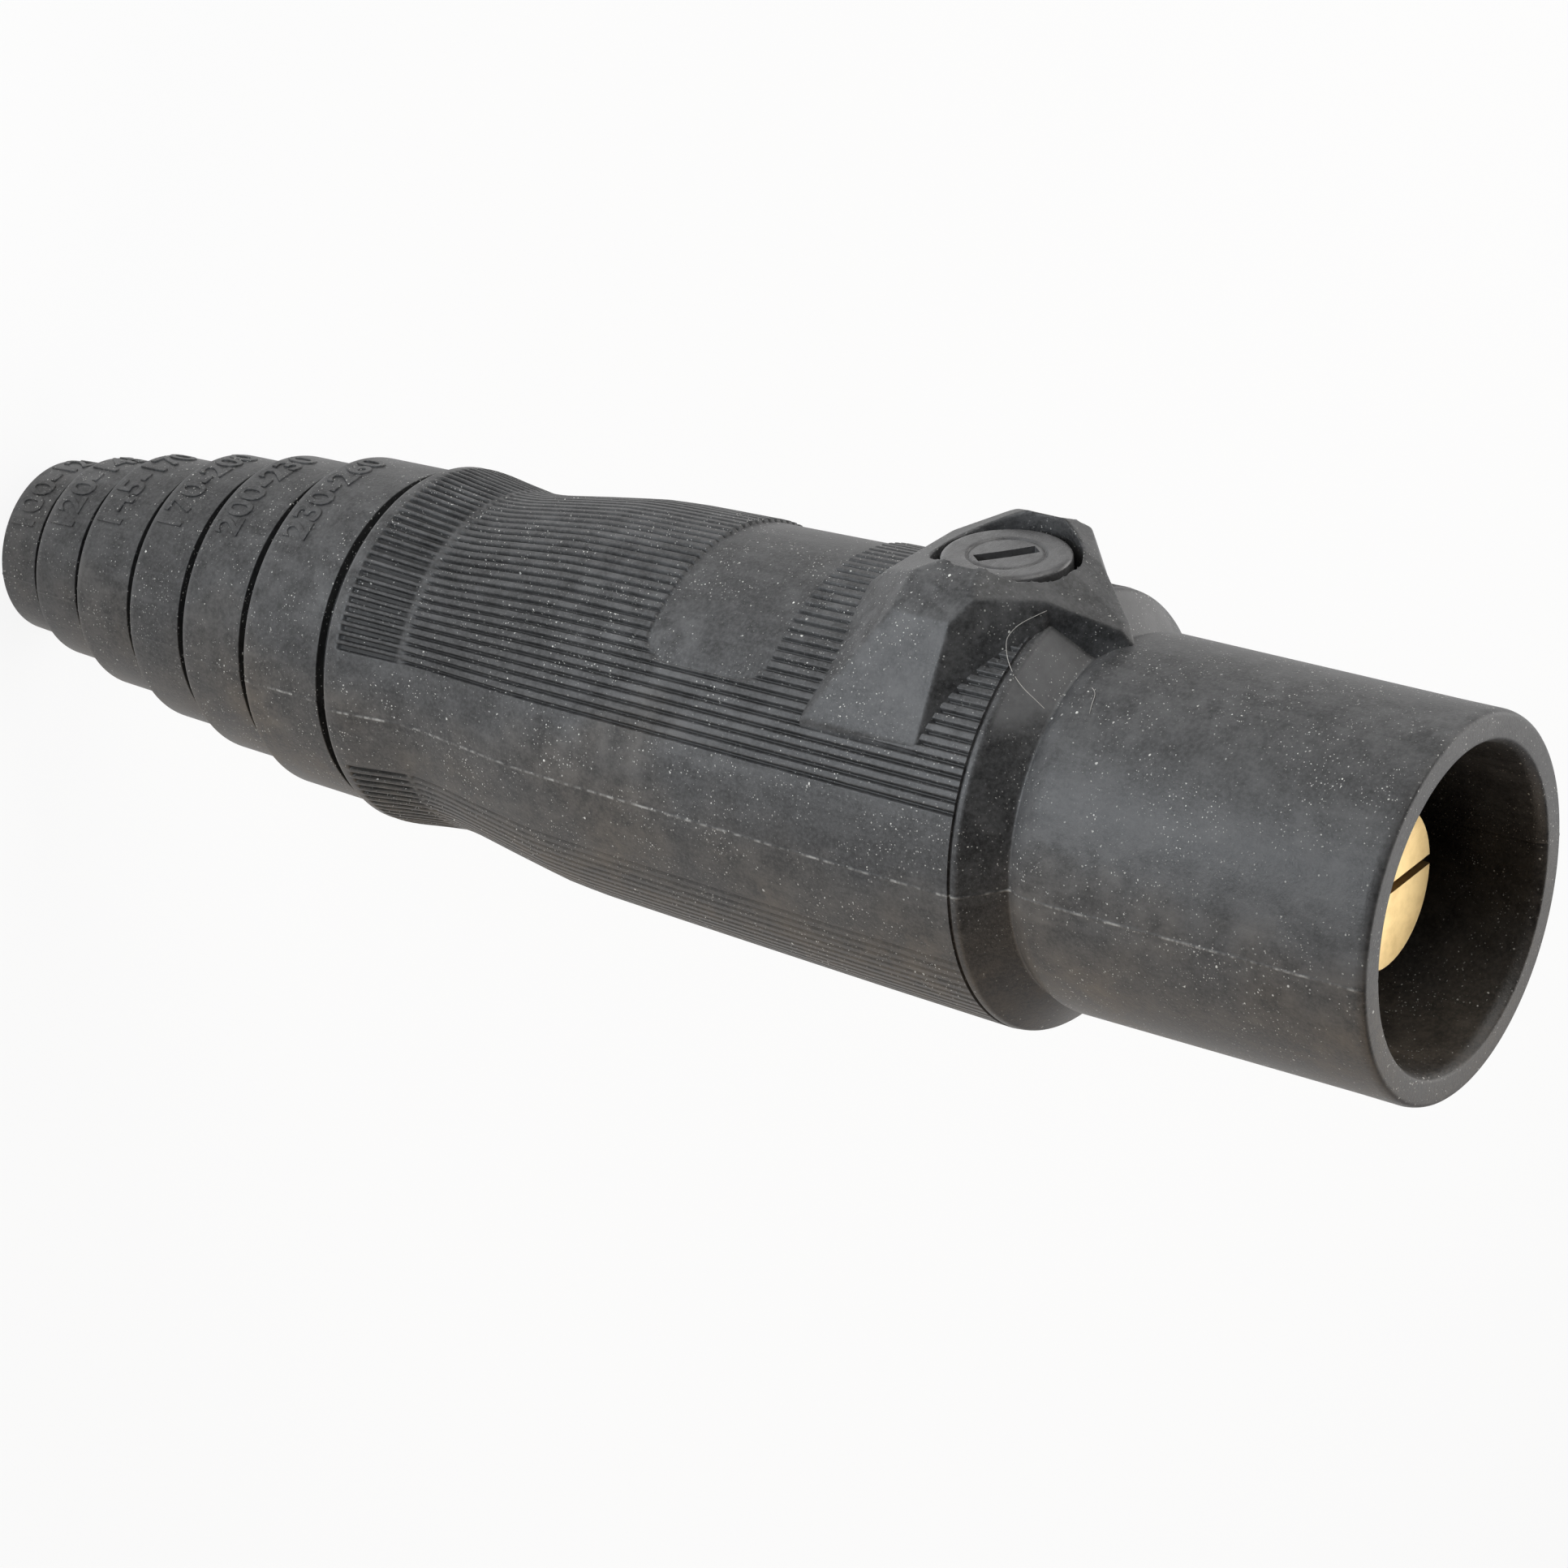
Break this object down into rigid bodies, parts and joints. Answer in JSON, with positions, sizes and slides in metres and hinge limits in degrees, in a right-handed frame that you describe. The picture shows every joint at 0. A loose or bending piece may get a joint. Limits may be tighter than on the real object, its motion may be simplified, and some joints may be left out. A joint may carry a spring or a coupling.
{
  "type": "single-pole cam-lock plug",
  "caption": "Male single-pole cam-lock power plug: ribbed rubber sleeve with a stepped cable entry, brass contact inside an open shroud and a slotted retaining screw.",
  "frame": {"origin": "centre of the cable entry's end face", "axes": "+Z along the plug's axis towards the open nose, and -Y out through the boss and its retaining screw; the mould's parting plane is XZ"},
  "size_m": [0.0434, 0.0482, 0.175],
  "materials": {
    "black_rubber": "satin, dusty",
    "contact_brass": "machined",
    "black_nylon": "satin",
    "set_screw_steel": "plain"
  },
  "bodies": {
    "root": {"insulating_sleeve": "black_rubber", "male_contact": "contact_brass", "retaining_screw": "black_nylon", "set_screw_1": "set_screw_steel", "set_screw_2": "set_screw_steel"}
  },
  "joints": []
}
